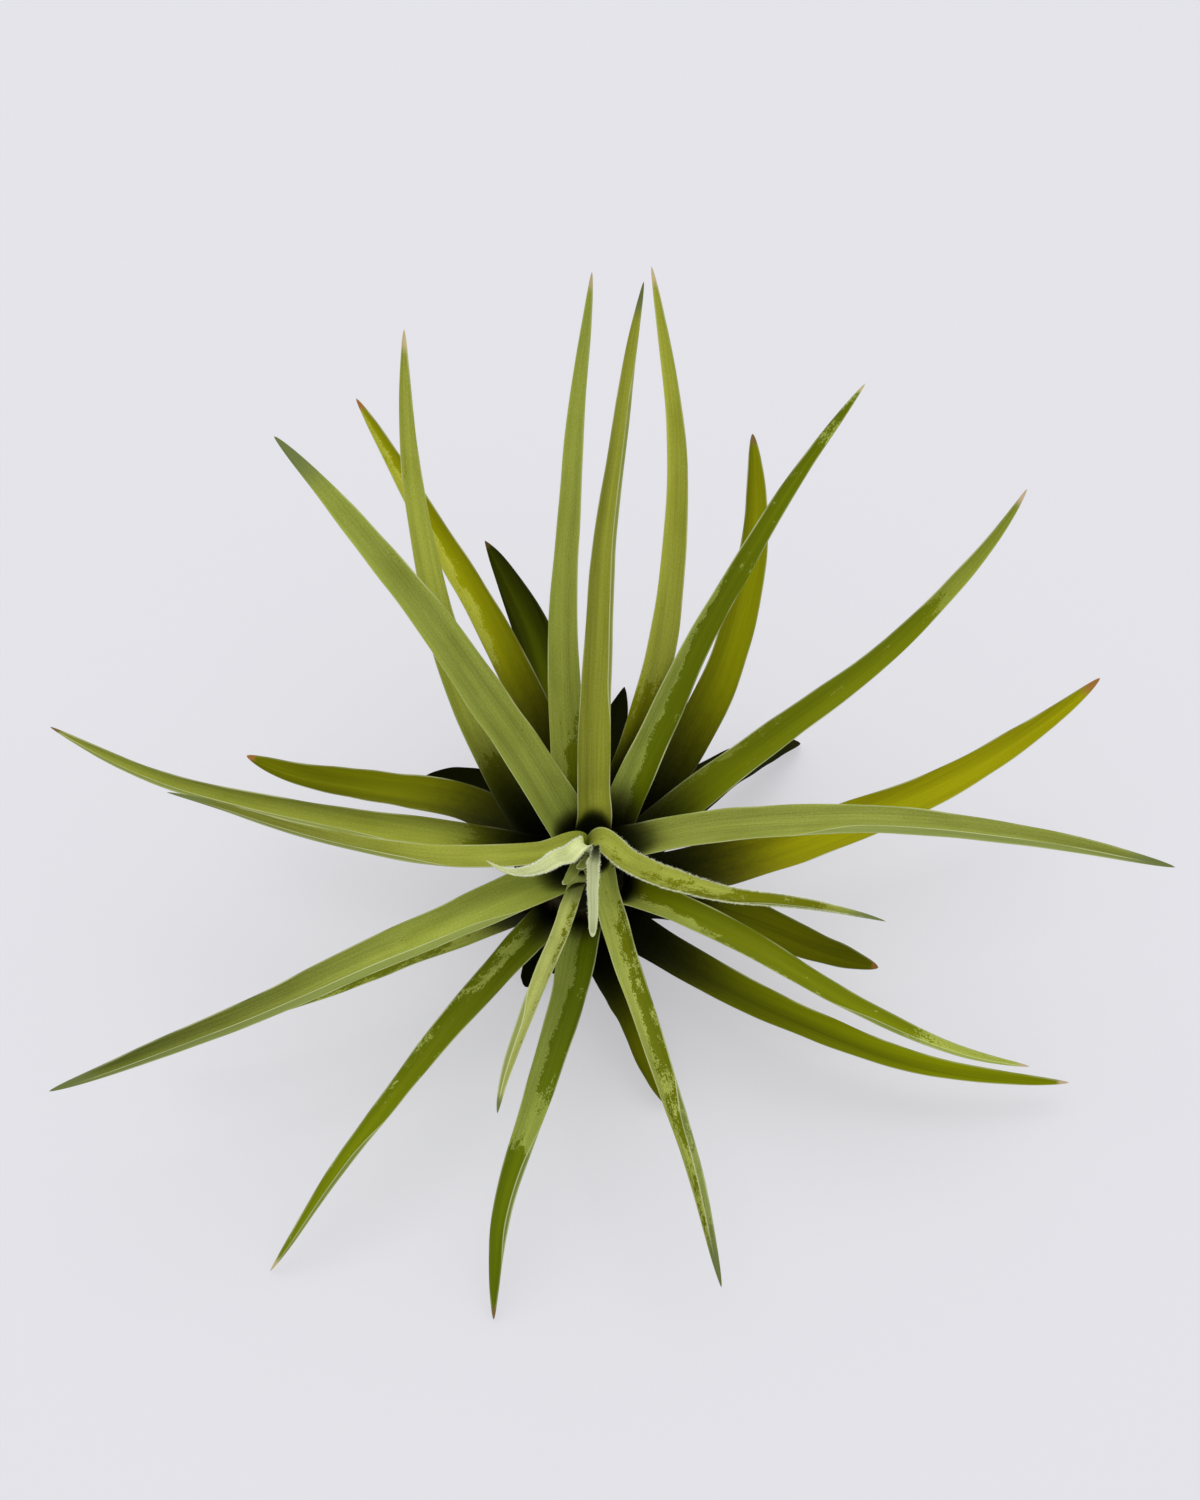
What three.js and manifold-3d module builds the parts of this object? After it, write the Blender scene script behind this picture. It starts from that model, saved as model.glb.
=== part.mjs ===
// An air plant: a stemless-looking rosette of channelled, tapering leaves round a short stem.
// Millimetres, +Z up. The origin is the middle of the flat foot that the plant stands on.
import * as THREE from "three";
import { mergeVertices } from "three/addons/utils/BufferGeometryUtils.js";
import Module from "manifold-3d";

const wasm = await Module();
wasm.setup();

// ---- Stem ----
const crown = new THREE.Vector3(6, -3, 44); // top of the stem, which leans a little
const footRadius = 8; // the flat spot that it rests on
const neckRadius = 7.4; // a quarter of the way up, where the oldest sheaths have dried away
const shoulderRadius = 9; // half way up, where the outer leaves are attached
const upperRadius = 7.6; // three quarters of the way up, where the inner leaves are attached
const crownRadius = 4.4; // round the growing point
const crownHollow = 8; // depth of the cup that the growing point sits in
const stemRings = 18;
const stemSides = 24;
const scarDepth = 0.05; // relief of the old sheath scars, as a share of the radius
const scarRows = 6; // rows of scars up the stem
const scarsPerRow = 5;

// ---- Blades ----
const bladeSteps = 14; // rings along one blade
const midThickness = 1.3; // at the root, along the middle
const edgeThickness = 0.6; // margins and tips
const sheathWaist = 0.15; // how much narrower a blade is at its root, as a share of its width
const taper = 0.8; // the width falls as (1 - share of the length to the leaf's own power) to this power
const sheathShare = 0.1; // length of the sheath, as a share of the blade's length
const channelAtMiddle = 0.1; // depth of the channel as a share of the width
const channelAtRoot = 0.2; // extra depth where the sheath clasps the stem
const channelAtTip = 0.16; // extra depth where the tip folds
const tipEnd = 0.985; // where the last ring stands, as a share of the length
const rootDepth = 1; // the blade starts this far inside the stem's surface, and is trimmed back to it
const clearance = 0.35; // gap that touching pieces keep
const sliver = 0.02; // faces narrower than this are dropped after a cut

const colours = {
  stem: 0x5a4a2c,
  young: 0xb4c48c,
  inner: 0x8ea04a,
  outer: 0x6f8430,
  old: 0x55661f,
};

// One row for each leaf: the height on the stem where it leaves, the heading it leaves in (degrees from +X),
// its greatest width, how long it stays wide, and three points on its middle line, the last being the tip.
const row = (level, heading, width, full, ...path) => ({ level, heading, width, full, path });
const leaves = {
  young_leaf_1: row(42.8, 234, 5.2, 1.5, [-2, -16, 54], [-7, -22, 59], [-14, -22, 63]),
  young_leaf_2: row(42.6, 286, 3.2, 4, [6, -19, 54], [6, -29, 58], [6, -37, 60]),
  young_leaf_3: row(38, 262, 3, 3, [3, -9, 43], [2, -13, 46], [0, -17, 48]),
  young_leaf_4: row(41, 280, 2.4, 3, [5, -8, 43], [4, -11, 46], [3, -14, 49]),
  inner_leaf_1: row(42, 86, 7, 1.3, [7, 22, 75], [10, 37, 109], [15, 44, 146]),
  inner_leaf_2: row(41.5, 192, 6.5, 1, [-24, -18, 59], [-49, -17, 66], [-76, -5, 62]),
  inner_leaf_3: row(42, 332, 6.6, 1, [26, -24, 57], [43, -31, 62], [61, -31, 56]),
  inner_leaf_4: row(34, 248, 3.4, 2, [-1, -33, 52], [-7, -53, 54], [-11, -68, 50]),
  inner_leaf_5: row(37.5, 295, 5.7, 1.8, [15, -43, 46], [23, -68, 39], [30, -86, 16]),
  inner_leaf_6: row(40.5, 145, 10.4, 2, [-15, 11, 71], [-33, 24, 94], [-54, 43, 110]),
  inner_leaf_7: row(39.5, 0, 8.4, 1.7, [45, -9, 58], [81, -13, 60], [120, -13, 48]),
  inner_leaf_8: row(37, 112, 8, 1.2, [0, 27, 67], [2, 45, 101], [6, 54, 140]),
  inner_leaf_9: row(36.5, 224, 9.2, 1.4, [-30, -32, 50], [-61, -49, 50], [-96, -56, 36]),
  inner_leaf_10: row(36.5, 42, 8.2, 1.1, [23, 17, 68], [39, 34, 94], [58, 53, 114]),
  outer_leaf_1: row(33, 78, 7, 1.6, [19, 21, 71], [22, 41, 104], [17, 63, 134]),
  outer_leaf_2: row(33, 178, 8, 1, [-34, -6, 49], [-68, 0, 54], [-106, 22, 48]),
  outer_leaf_3: row(29.5, 268, 8.2, 1.3, [-1, -42, 33], [-9, -66, 24], [-13, -86, 1]),
  outer_leaf_4: row(32, 320, 8.6, 0.9, [36, -24, 38], [61, -39, 35], [92, -43, 22]),
  outer_leaf_5: row(29.5, 135, 9, 1.4, [-19, 20, 58], [-29, 45, 85], [-31, 71, 112]),
  outer_leaf_6: row(29.5, 22, 8, 1.5, [38, 12, 52], [67, 26, 71], [92, 49, 90]),
  outer_leaf_7: row(28.5, 238, 7.6, 1, [-20, -36, 31], [-38, -58, 23], [-57, -76, 1]),
  outer_leaf_8: row(21, 317, 9.6, 1.3, [36, -24, 19], [67, -36, 14], [103, -38, 7]),
  outer_leaf_9: row(27.5, 57, 8.4, 2.8, [26, 19, 48], [37, 40, 69], [39, 71, 84]),
  outer_leaf_10: row(22, 168, 9.2, 3.4, [-19, 16, 28], [-43, 21, 29], [-69, 30, 28]),
  outer_leaf_11: row(23, 3, 11.2, 2, [44, 6, 27], [80, 18, 34], [113, 37, 46]),
  outer_leaf_12: row(24, 204, 8, 1.5, [-27, -18, 28], [-52, -29, 26], [-81, -33, 16]),
  outer_leaf_13: row(24, 106, 8.6, 2.2, [-7, 26, 50], [-24, 49, 72], [-43, 75, 90]),
  old_leaf_1: row(15, 288, 9, 2.5, [11, -18, 13], [16, -30, 10], [21, -40, 2]),
  old_leaf_2: row(15, 345, 10.5, 3.4, [25, -3, 21], [44, -11, 21], [65, -16, 16]),
  old_leaf_3: row(18.5, 98, 11, 3.6, [-1, 26, 30], [-6, 48, 41], [-18, 71, 52]),
  old_leaf_4: row(14, 145, 10, 3, [-8, 17, 14], [-17, 34, 10], [-33, 45, 1]),
  old_leaf_5: row(10, 75, 10.5, 3.6, [6, 22, 11], [9, 44, 8], [13, 72, 1]),
  old_leaf_6: row(13, 40, 10.5, 3.6, [18, 17, 17], [34, 36, 13], [54, 55, 1]),
  old_leaf_7: row(9, 225, 6, 3, [-5, -6, 7], [-7, -9, 4], [-9, -11, 1]),
};

// A point on the stem's middle line at a height.
function stemCentre(height) {
  return new THREE.Vector3(crown.x, crown.y, crown.z).multiplyScalar(height / crown.z);
}

// The stem's radius at a share of its height: a smooth curve through radii at quarters of it.
const stemRadii = [footRadius, neckRadius, shoulderRadius, upperRadius, crownRadius];
const stemProfile = new THREE.SplineCurve(stemRadii.map((radius, i) => new THREE.Vector2(radius, i / 4)));
const stemRadius = (share) => stemProfile.getPoint(share).x;

// A closed tube of rings with a fan at each end.
function closeRings(rings, startPoint, endPoint) {
  const positions = [];
  const indices = [];
  const sides = rings[0].length;
  rings.flat().forEach((p) => positions.push(p.x, p.y, p.z));
  for (let i = 0; i + 1 < rings.length; i++) {
    for (let j = 0; j < sides; j++) {
      const a = i * sides + j;
      const b = i * sides + ((j + 1) % sides);
      indices.push(a, b, b + sides, a, b + sides, a + sides);
    }
  }
  [
    [startPoint, 0, false],
    [endPoint, (rings.length - 1) * sides, true],
  ].forEach(([point, first, forward]) => {
    const apex = positions.length / 3;
    positions.push(point.x, point.y, point.z);
    for (let j = 0; j < sides; j++) {
      const a = first + j;
      const b = first + ((j + 1) % sides);
      indices.push(...(forward ? [a, b, apex] : [b, a, apex]));
    }
  });
  const geometry = new THREE.BufferGeometry();
  geometry.setAttribute("position", new THREE.Float32BufferAttribute(positions, 3));
  geometry.setIndex(indices);
  return geometry;
}

// The stem: round rings that lean from the foot to the crown, raised in staggered rows of sheath scars.
function stemGeometry(grow = 0) {
  const rings = [];
  for (let i = 0; i <= stemRings; i++) {
    const share = i / stemRings;
    const radius = stemRadius(share) + grow;
    const centre = stemCentre(share * (crown.z + 3 * grow)); // a grown rim must clear the cup's edge
    const ring = [];
    for (let j = 0; j < stemSides; j++) {
      const angle = (j / stemSides) * 2 * Math.PI;
      const row = share * scarRows;
      const scar = Math.abs(Math.sin(Math.PI * row)) * Math.cos(scarsPerRow * angle + Math.floor(row) * 2.4);
      const r = radius * (1 + (i === 0 ? 0 : scarDepth * scar));
      ring.push(new THREE.Vector3(centre.x + r * Math.cos(angle), centre.y + r * Math.sin(angle), centre.z));
    }
    rings.push(ring);
  }
  const top = crown.clone().add(new THREE.Vector3(0, 0, grow - crownHollow));
  return closeRings(rings, new THREE.Vector3(0, 0, grow ? -grow : 0), top);
}

// The control point by one end of a cubic curve that meets four points at its thirds.
function control(end, second, third, far) {
  const sum = end.clone().multiplyScalar(-5).addScaledVector(second, 18).addScaledVector(third, -9);
  return sum.addScaledVector(far, 2).divideScalar(6);
}

// The blade's middle line: a curve from inside the stem through the path's three points.
function middleLine({ level, heading, path }) {
  const angle = THREE.MathUtils.degToRad(heading);
  const inset = stemRadius(level / crown.z) - rootDepth;
  const outwards = new THREE.Vector3(Math.cos(angle), Math.sin(angle), 0);
  const root = stemCentre(level).addScaledVector(outwards, inset);
  const [a, b, tip] = path.map((p) => new THREE.Vector3(...p));
  return new THREE.CubicBezierCurve3(root, control(root, a, b, tip), control(tip, b, a, root), tip);
}

// A blade: a channelled section carried along the middle line, clasping at its root and fine at the tip.
function bladeGeometry(leaf, grow = 0) {
  const curve = middleLine(leaf);
  const chord = curve.getPoint(1).sub(curve.getPoint(0)).normalize();
  const facing = crown.clone().normalize();
  facing.addScaledVector(chord, -facing.dot(chord)).normalize(); // the hollow side faces up and inwards
  const rings = [];
  for (let i = 0; i <= bladeSteps; i++) {
    const t = (tipEnd * i) / bladeSteps;
    const centre = curve.getPointAt(t);
    const along = curve.getTangentAt(t);
    const side = facing.clone().cross(along).normalize();
    const up = along.clone().cross(side);
    const sheath = Math.exp(-((t / sheathShare) ** 2));
    const width = leaf.width * (1 - t ** leaf.full) ** taper * (1 - sheathWaist * sheath) + 2 * grow;
    const depth = width * (channelAtMiddle + channelAtRoot * sheath + channelAtTip * t * t);
    const middle = THREE.MathUtils.lerp(midThickness, edgeThickness, t) + grow;
    const edge = edgeThickness + grow;
    const point = (across, lift) =>
      centre.clone().addScaledVector(side, (across * width) / 2).addScaledVector(up, lift - depth / 2);
    rings.push([
      point(-1, depth - edge),
      point(-0.45, depth * 0.24 - middle),
      point(0.45, depth * 0.24 - middle),
      point(1, depth - edge),
      point(1, depth + grow),
      point(0.5, depth * 0.3 + grow),
      point(-0.5, depth * 0.3 + grow),
      point(-1, depth + grow),
    ]);
  }
  const tip = curve.getPoint(1).addScaledVector(facing, -edgeThickness / 2);
  return closeRings(rings, curve.getPoint(0), tip);
}

// three.js geometry to a solid and back.
function toSolid(geometry) {
  const bare = geometry.clone();
  Object.keys(bare.attributes)
    .filter((name) => name !== "position")
    .forEach((name) => bare.deleteAttribute(name));
  const merged = mergeVertices(bare, 1e-4);
  return new wasm.Manifold(
    new wasm.Mesh({
      numProp: 3,
      vertProperties: new Float32Array(merged.attributes.position.array),
      triVerts: new Uint32Array(merged.index.array),
    }),
  );
}

function toGeometry(solid) {
  const { vertProperties, triVerts } = solid.getMesh();
  const geometry = new THREE.BufferGeometry();
  geometry.setAttribute("position", new THREE.BufferAttribute(new Float32Array(vertProperties), 3));
  geometry.setIndex(new THREE.BufferAttribute(new Uint32Array(triVerts), 1));
  geometry.computeVertexNormals();
  return geometry;
}

// The largest body that a cut leaves, without its slivers.
function largest(solid) {
  return solid.simplify(sliver).decompose().reduce((a, b) => (b.volume() > a.volume() ? b : a));
}

// A named mesh in the colour of its kind, which is the first word of its name.
function addMesh(group, name, solid) {
  const color = colours[name.split("_")[0]];
  const material = new THREE.MeshStandardMaterial({ color, roughness: 0.6, metalness: 0 });
  const mesh = new THREE.Mesh(toGeometry(solid), material);
  mesh.name = name;
  group.add(mesh);
}

const plant = new THREE.Group();
addMesh(plant, "stem", toSolid(stemGeometry()));
const stemCutter = toSolid(stemGeometry(clearance));
const placed = [];
for (const [name, leaf] of Object.entries(leaves)) {
  let blade = toSolid(bladeGeometry(leaf)).subtract(stemCutter);
  // A lower sheath gives way to the ones above it.
  placed.forEach((cutter) => {
    if (blade.intersect(cutter).volume() > 0) blade = blade.subtract(cutter);
  });
  placed.push(toSolid(bladeGeometry(leaf, clearance)));
  addMesh(plant, name, largest(blade));
}

export default plant;
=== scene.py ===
from math import radians
from types import SimpleNamespace

import bpy
import numpy as np
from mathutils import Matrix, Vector


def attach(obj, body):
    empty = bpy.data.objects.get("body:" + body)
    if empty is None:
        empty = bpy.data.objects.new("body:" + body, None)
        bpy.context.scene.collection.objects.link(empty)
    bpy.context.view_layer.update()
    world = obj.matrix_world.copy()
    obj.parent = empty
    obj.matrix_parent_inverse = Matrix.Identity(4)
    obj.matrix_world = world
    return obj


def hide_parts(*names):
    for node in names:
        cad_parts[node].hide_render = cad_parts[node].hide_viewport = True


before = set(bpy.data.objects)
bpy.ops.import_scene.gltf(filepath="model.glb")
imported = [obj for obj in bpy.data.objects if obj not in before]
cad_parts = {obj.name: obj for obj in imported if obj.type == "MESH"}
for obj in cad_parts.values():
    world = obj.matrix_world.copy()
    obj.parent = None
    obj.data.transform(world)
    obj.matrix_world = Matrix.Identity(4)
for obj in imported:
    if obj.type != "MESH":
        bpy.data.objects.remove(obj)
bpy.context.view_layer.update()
mm = 0.001  # the scene is in metres, and the plant's sizes are given in millimetres


# Each row divided by its own length.
def unit(vectors):
    return vectors / np.linalg.norm(vectors, axis=-1, keepdims=True)


# An even blend from 0 to 1 as x goes from low to high: 3s^2 - 2s^3 of the share s.
def ease(x, low=0.0, high=1.0):
    share = np.clip((x - low) / (high - low), 0, 1)
    return share * share * (3 - 2 * share)


# A value that goes evenly from first to last as x goes from low to high.
def ramp(x, low, high, first, last):
    return first + (last - first) * np.clip((x - low) / (high - low), 0, 1)


# Points of a cubic Bezier curve at shares t: a(1-t)^3 + 3bt(1-t)^2 + 3ct^2(1-t) + dt^3.
def bezier(points, t):
    a, b, c, d = (np.array(p, float) for p in points)
    t = t[:, None]
    return a * (1 - t) ** 3 + 3 * b * t * (1 - t) ** 2 + 3 * c * t**2 * (1 - t) + d * t**3


# Lengths along a line of points: the sum of the steps up to each.
def lengthsAlong(points):
    return np.concatenate([[0], np.cumsum(np.linalg.norm(np.diff(points, axis=0), axis=1))])


# A line through points, straight from each to the next, read at given lengths along it.
def readAt(points, lengths, wanted):
    return np.stack([np.interp(wanted, lengths, points[:, i]) for i in range(points.shape[1])], axis=1)


# A smooth wander between -1 and 1: the mean of a few sines of x with random phases.
def wander(random, x, waves):
    phases = random.uniform(0, 2 * np.pi, len(waves))
    return sum(np.sin(2 * np.pi * w * x + p) for w, p in zip(waves, phases)) / len(waves)


# An object for a mesh, a lamp or a camera, linked into the scene.
def addObject(name, data):
    made = bpy.data.objects.new(name, data)
    bpy.context.scene.collection.objects.link(made)
    return made


# A closed tube of rings with a fan at each end. fields are values at each ring point, and cloth is its place
# (u, v) on the surface, for a pattern.
def tubeMesh(name, rings, ends, fields, cloth=None):
    ringCount, sides = rings.shape[:2]
    points = np.vstack([rings.reshape(-1, 3), ends]) * mm
    i = np.arange(ringCount - 1)[:, None] * sides
    j = np.arange(sides)[None, :]
    after = (j + 1) % sides
    quads = np.stack([i + j, i + after, i + after + sides, i + j + sides], axis=-1).reshape(-1, 4)
    first, last = len(points) - 2, len(points) - 1
    edge = np.arange(sides)
    nextEdge = (edge + 1) % sides
    top = (ringCount - 1) * sides
    startFan = np.stack([nextEdge, edge, np.full(sides, first)], axis=1)
    endFan = np.stack([top + edge, top + nextEdge, np.full(sides, last)], axis=1)
    mesh = bpy.data.meshes.new(name)
    mesh.from_pydata(points.tolist(), [], quads.tolist() + startFan.tolist() + endFan.tolist())
    for key, values in fields.items():
        values = np.concatenate([values.ravel(), [values[0].mean(), values[-1].mean()]])
        mesh.attributes.new(key, "FLOAT", "POINT").data.foreach_set("value", values.astype(np.float32))
    if cloth is not None:
        flat = np.vstack([cloth.reshape(-1, 2), cloth[0].mean(axis=0), cloth[-1].mean(axis=0)])
        corners = np.empty(len(mesh.loops), np.int32)
        mesh.loops.foreach_get("vertex_index", corners)
        mesh.uv_layers.new(name="skin").data.foreach_set("uv", flat[corners].astype(np.float32).ravel())
    mesh.polygons.foreach_set("use_smooth", np.ones(len(mesh.polygons), bool))
    mesh.update()
    return addObject(name, mesh)


stem = {
    "crown": (6, -3, 44),  # top of the stem, which leans a little
    "quarterRadii": (8, 7.4, 9, 7.6, 4.4),  # at each quarter of its height, from the foot
    "top": 37,  # its rounded end, inside the heart leaves
    "rounding": 9,  # the height over which it closes
    "lastRing": 0.001,  # keeps the last ring a little open
    "rings": 170,
    "sides": 180,
    "scaleRows": 9,  # rows of dry sheaths up the stem
    "scalesPerRow": 7,
    "scaleFoot": 0.5,  # how far below its row a scale starts, in rows
    "scaleTop": 1.15,  # how far above it the scale's middle ends
    "scaleArch": 0.55,  # and how much lower its sides end
    "scaleLift": 0.55,  # how far a lip stands off
    "lipMiddle": 1.1,  # the lift in a scale's middle, beside that
    "lipFall": 0.5,  # how much less it is at the sides
    "creases": ((0.08, 31), (0.05, 57)),  # depth and number round the stem
    "skinDepth": 0.35,  # how far the skin lies inside the radii
    "scalesFrom": (0.2, 1.5),  # the heights between which the scales begin
}
stemUp = unit(np.array(stem["crown"], float))


# The stem's radius at a height: a smooth cubic curve through the quarterRadii.
def stemRadius(height):
    share = np.clip(height / stem["crown"][2], 0, 1) * 4
    k = np.minimum(share.astype(int), 3)
    f = share - k
    p0, p1, p2, p3 = (np.array(stem["quarterRadii"])[np.clip(k + i, 0, 4)] for i in (-1, 0, 1, 2))
    bend = (p2 - p0) * f + (2 * p0 - 5 * p1 + 4 * p2 - p3) * f**2 + (3 * p1 - p0 - 3 * p2 + p3) * f**3
    return p1 + bend / 2


# The stem's straight middle line, at a height.
def stemCentre(height):
    return np.multiply.outer(np.asarray(height) / stem["crown"][2], np.array(stem["crown"], float))


# How far the dry sheaths stand off: each is a scale that rises evenly to its lip and falls back in a step
# along its rounded upper edge, and the highest scale at a place counts.
def scaleHeights(height, angle):
    rows, tall = stem["scaleRows"], stem["crown"][2]
    lifted = np.zeros(np.broadcast(height, angle).shape)
    for row in range(rows):
        turn = angle * stem["scalesPerRow"] / (2 * np.pi) + 0.5 * row
        offset = np.abs(turn - np.round(turn)) * 2  # 0 along a scale's middle, 1 between two scales
        top = tall * (row + stem["scaleTop"] - stem["scaleArch"] * offset**2) / rows
        base = tall * (row - stem["scaleFoot"]) / rows
        rise = np.clip((height - base) / (top - base), 0, 1)
        lip = stem["scaleLift"] * rise * (stem["lipMiddle"] - stem["lipFall"] * offset**2)
        lifted = np.maximum(lifted, np.where(height < top, lip, 0))
    return lifted


# The stem: a leaning round body that closes as a quarter ellipse under the heart leaves, with its scales
# and two sets of creases, which are sines round it that drift with the height.
def buildStem():
    height = stem["top"] * np.sin(np.linspace(0, np.pi / 2, stem["rings"]))[:, None]
    angle = np.linspace(0, 2 * np.pi, stem["sides"], endpoint=False)[None, :]
    closing = np.clip((height - stem["top"]) / stem["rounding"] + 1, 0, 1)
    radius = stemRadius(height) * np.sqrt(1 + stem["lastRing"] - closing**2) + 0 * angle
    lifted = scaleHeights(height, angle)
    (coarse, few), (fine, many) = stem["creases"]
    creases = coarse * np.sin(few * angle + 2 * np.sin(height / 3))
    creases = creases + fine * np.sin(many * angle + height / 5)
    free = ease(height, *stem["scalesFrom"]) * (1 - closing)
    radius = radius - stem["skinDepth"] * free + (lifted + creases) * free
    centre = stemCentre(height[:, 0])
    rings = centre[:, None] + np.stack([radius * np.cos(angle), radius * np.sin(angle), 0 * radius], axis=-1)
    ends = np.stack([stemCentre(0), stemCentre(stem["top"])])
    piece = tubeMesh("stem_sheaths", rings, ends, {"lip": lifted, "level": rings[..., 2] / stem["top"]})
    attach(piece, "root")
    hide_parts("stem")
    return piece


# One row for each leaf: its height on the stem, its heading in degrees from +X, its greatest width, how long
# it stays wide, and three points on its middle line, the last being the tip.
leafShapes = {
    "young_leaf_1": (42.8, 234, 5.2, 1.5, (-2, -16, 54), (-7, -22, 59), (-14, -22, 63)),
    "young_leaf_2": (42.6, 286, 3.2, 4, (6, -19, 54), (6, -29, 58), (6, -37, 60)),
    "young_leaf_3": (38, 262, 3, 3, (3, -9, 43), (2, -13, 46), (0, -17, 48)),
    "young_leaf_4": (41, 280, 2.4, 3, (5, -8, 43), (4, -11, 46), (3, -14, 49)),
    "inner_leaf_1": (42, 86, 7, 1.3, (7, 22, 75), (10, 37, 109), (15, 44, 146)),
    "inner_leaf_2": (41.5, 192, 6.5, 1, (-24, -18, 59), (-49, -17, 66), (-76, -5, 62)),
    "inner_leaf_3": (42, 332, 6.6, 1, (26, -24, 57), (43, -31, 62), (61, -31, 56)),
    "inner_leaf_4": (34, 248, 3.4, 2, (-1, -33, 52), (-7, -53, 54), (-11, -68, 50)),
    "inner_leaf_5": (37.5, 295, 5.7, 1.8, (15, -43, 46), (23, -68, 39), (30, -86, 16)),
    "inner_leaf_6": (40.5, 145, 10.4, 2, (-15, 11, 71), (-33, 24, 94), (-54, 43, 110)),
    "inner_leaf_7": (39.5, 0, 8.4, 1.7, (45, -9, 58), (81, -13, 60), (120, -13, 48)),
    "inner_leaf_8": (37, 112, 8, 1.2, (0, 27, 67), (2, 45, 101), (6, 54, 140)),
    "inner_leaf_9": (36.5, 224, 9.2, 1.4, (-30, -32, 50), (-61, -49, 50), (-96, -56, 36)),
    "inner_leaf_10": (36.5, 42, 8.2, 1.1, (23, 17, 68), (39, 34, 94), (58, 53, 114)),
    "outer_leaf_1": (33, 78, 7, 1.6, (19, 21, 71), (22, 41, 104), (17, 63, 134)),
    "outer_leaf_2": (33, 165, 8.2, 1.15, (-34, -5, 50), (-68, 0, 54), (-106, 22, 48)),
    "outer_leaf_3": (29.5, 268, 8.2, 1.3, (-1, -42, 33), (-9, -66, 24), (-13, -86, 1)),
    "outer_leaf_4": (32, 320, 8.6, 0.9, (36, -24, 38), (61, -39, 35), (92, -43, 22)),
    "outer_leaf_5": (29.5, 135, 9, 1.4, (-19, 20, 58), (-29, 45, 85), (-31, 71, 112)),
    "outer_leaf_6": (29.5, 22, 8, 1.5, (38, 12, 52), (67, 26, 71), (92, 49, 90)),
    "outer_leaf_7": (28.5, 238, 7.6, 1, (-20, -36, 31), (-38, -58, 23), (-57, -76, 1)),
    "outer_leaf_8": (21, 317, 9.6, 1.3, (36, -24, 19), (67, -36, 14), (103, -38, 7)),
    "outer_leaf_9": (27.5, 57, 8.4, 2.8, (26, 19, 48), (37, 40, 69), (39, 71, 84)),
    "outer_leaf_10": (22, 168, 9.2, 3.4, (-19, 16, 28), (-43, 21, 29), (-69, 30, 28)),
    "outer_leaf_11": (23, 3, 11.2, 2, (44, 6, 27), (80, 18, 34), (113, 37, 46)),
    "outer_leaf_12": (24, 204, 8, 1.5, (-27, -18, 28), (-52, -29, 26), (-81, -33, 16)),
    "outer_leaf_13": (24, 106, 8.6, 2.2, (-7, 26, 50), (-24, 49, 72), (-43, 75, 90)),
    "old_leaf_1": (15, 288, 9, 2.5, (11, -18, 13), (16, -30, 10), (21, -40, 2)),
    "old_leaf_2": (15, 345, 10.5, 3.4, (25, -3, 21), (44, -11, 21), (65, -16, 16)),
    "old_leaf_3": (18.5, 98, 11, 3.6, (-1, 26, 30), (-6, 48, 41), (-18, 71, 52)),
    "old_leaf_4": (14, 145, 10, 3, (-8, 17, 14), (-17, 34, 10), (-33, 45, 1)),
    "old_leaf_5": (10, 75, 10.5, 3.6, (6, 22, 11), (9, 44, 8), (13, 72, 1)),
    "old_leaf_6": (13, 40, 10.5, 3.6, (18, 17, 17), (34, 36, 13), (54, 55, 1)),
    "old_leaf_7": (9, 225, 6, 3, (-5, -6, 7), (-7, -9, 4), (-9, -11, 1)),
}

# The usual look of a leaf, which its own row in leafLooks changes.
# yellow: 0 green to 1 yellow-olive. bloom: how pale its dry scales are. dry: from 1 dry to 0 wet. dark: how
# far it goes over to near black, partly its own old colour and partly painted shade under the leaves above.
# light: its brightness, and outer: how many times brighter its end is, both partly its own tone and partly
# painted light and shade. sides: how much darker its sides are, painted shade of its curve. lean: how much
# paler its left side is than its right, painted light. streak: how pale its middle is, painted light along
# its curve. gloss: its shine. root: the share of its length that darkens towards the stem, partly the
# sheath's brown and partly painted shade deep in the crown. tip: the colour of its end, and fade: the share
# where that begins. woolly: how thick its hairs stand.
# patches: (dryness, from, to) is a patch between two shares of the length. With (edge there, edge there,
# side) it lies on one side (1 is left of the way that the leaf grows, -1 right) of a line, whose place
# across the leaf goes from -1 to 1. fold: (from, to, edge there, edge there, side) is a margin that is
# rolled up beyond such a line.
# start: how far from the stem's middle its sheath starts, rise: how far that climbs before it turns outwards
# (None: worked out from its height), and lift: how much higher it starts. slim: its width beside the row's.
# full: how long it stays wide, if not as in the row. tipTaper: the power at its tip. neck: how much narrower
# its base is.
usualLook = dict(
    yellow=0.3, bloom=0.6, dry=1, dark=0, light=1, outer=1, sides=0.05, lean=0, streak=0.1, gloss=0.16,
    root=0.05, tip="grey", fade=0.93, woolly=0, patches=[], fold=None, start=None, rise=None, lift=0,
    slim=1, tipTaper=0.64, neck=0,
)

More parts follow.
